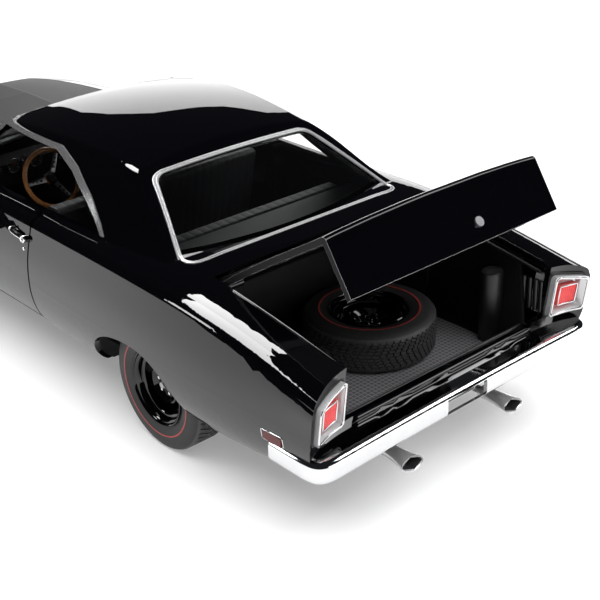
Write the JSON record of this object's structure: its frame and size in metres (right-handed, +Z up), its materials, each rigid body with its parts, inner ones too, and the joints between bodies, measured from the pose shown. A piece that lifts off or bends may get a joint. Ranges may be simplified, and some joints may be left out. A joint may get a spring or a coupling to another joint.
{
  "type": "1:18 scale model of a two-door hardtop muscle car",
  "caption": "Die-cast scale model of a late-sixties hardtop muscle car with opening doors, hood and trunk, steering front wheels and rolling tyres.",
  "frame": {"origin": "On the ground plane, under the middle of the model's overall length and width.", "axes": "+X towards the nose, +Y to the car's left, +Z up."},
  "size_m": [0.2846, 0.107, 0.0775],
  "materials": {
    "paint": "gloss",
    "hood_black": "matte",
    "glass": "clear",
    "satin_trim": "satin",
    "chrome": "polished",
    "black_plastic": "matte",
    "grey_plastic": "satin",
    "red_lens": "gloss",
    "seat_vinyl": "satin",
    "wood": "varnished",
    "steel": "satin",
    "wheel_black": "gloss",
    "tyre": "matte"
  },
  "bodies": {
    "car_body": {"roof_shell": "paint", "cowl_and_rear_deck": "paint", "nose_panel": "paint", "front_fenders": "paint", "rocker_sills": "paint", "tail_panel": "paint", "rear_quarters": "paint", "windshield_glass": "glass", "rear_window_glass": "glass", "windshield_trim": "satin_trim", "rear_window_trim": "satin_trim", "side_window_trims": "satin_trim", "rear_bumper": "chrome", "front_bumper": "chrome", "grille": "black_plastic", "headlamp_bezels": "chrome", "headlamps": "glass", "tail_lamp_bezels": "chrome", "tail_lamp_lenses": "red_lens", "side_markers": "red_lens", "chassis_pan": "black_plastic", "wheel_housings": "black_plastic", "rear_axle_housing": "black_plastic", "front_suspension": "black_plastic", "exhaust_pipes": "grey_plastic", "exhaust_tips": "chrome", "engine_block": "grey_plastic", "trunk_liner": "black_plastic", "spare_tyre": "tyre", "spare_rim": "wheel_black", "cabin_floor": "black_plastic", "front_seat": "seat_vinyl", "rear_seat": "seat_vinyl", "dashboard": "black_plastic", "steering_column": "black_plastic", "door_hinges": "steel"},
    "steering_wheel": {"steering_wheel": "wood"},
    "door_left": {"door_left": "paint", "door_handle_left": "chrome", "side_mirror_left": "chrome"},
    "door_right": {"door_right": "paint", "door_handle_right": "chrome"},
    "hood": {"hood": "hood_black"},
    "trunk_lid": {"trunk_lid": "paint", "trunk_lock": "satin_trim"},
    "knuckle_left": {"knuckle_left": "steel"},
    "knuckle_right": {"knuckle_right": "steel"},
    "wheel_front_left": {"tyre_front_left": "tyre", "rim_front_left": "wheel_black"},
    "wheel_front_right": {"tyre_front_right": "tyre", "rim_front_right": "wheel_black"},
    "rear_wheels": {"rear_axle_shaft": "steel", "tyre_rear_left": "tyre", "rim_rear_left": "wheel_black", "tyre_rear_right": "tyre", "rim_rear_right": "wheel_black"}
  },
  "joints": [
    {"name": "door_left_hinge", "type": "hinge", "parent": "car_body", "child": "door_left", "pos_m": [0.0524, 0.05112, 0.033], "axis": [0, 0, -1], "range_deg": [0, 60]},
    {"name": "door_right_hinge", "type": "hinge", "parent": "car_body", "child": "door_right", "pos_m": [0.0524, -0.05112, 0.033], "axis": [0, 0, 1], "range_deg": [0, 60]},
    {"name": "hood_hinge", "type": "hinge", "parent": "car_body", "child": "hood", "pos_m": [0.0545, 0, 0.05208], "axis": [0, -1, 0], "range_deg": [0, 50]},
    {"name": "trunk_hinge", "type": "hinge", "parent": "car_body", "child": "trunk_lid", "pos_m": [-0.0923, 0, 0.05178], "axis": [0, 1, 0], "range_deg": [-40.5, 8]},
    {"name": "steer_left", "type": "hinge", "parent": "car_body", "child": "knuckle_left", "pos_m": [0.0915, 0.0334, 0.0184], "axis": [0, 0, 1], "range_deg": [-20, 20]},
    {"name": "steer_right", "type": "hinge", "parent": "car_body", "child": "knuckle_right", "pos_m": [0.0915, -0.0334, 0.0184], "axis": [0, 0, 1], "range_deg": [-20, 20]},
    {"name": "steering_wheel_turn", "type": "hinge", "parent": "car_body", "child": "steering_wheel", "pos_m": [0.022, 0.0184, 0.0464], "axis": [-0.9063, 0, 0.4226], "range_deg": [-80, 80]},
    {"name": "front_left_spin", "type": "hinge", "parent": "knuckle_left", "child": "wheel_front_left", "pos_m": [0.0915, 0.0423, 0.0184], "axis": [0, 1, 0], "continuous": true},
    {"name": "front_right_spin", "type": "hinge", "parent": "knuckle_right", "child": "wheel_front_right", "pos_m": [0.0915, -0.0423, 0.0184], "axis": [0, 1, 0], "continuous": true},
    {"name": "rear_wheels_spin", "type": "hinge", "parent": "car_body", "child": "rear_wheels", "pos_m": [-0.0722, 0, 0.0184], "axis": [0, 1, 0], "continuous": true}
  ],
  "couplings": [
    {"joint": "steer_right", "follows": "steer_left", "ratio": 1},
    {"joint": "steering_wheel_turn", "follows": "steer_left", "ratio": 4}
  ]
}
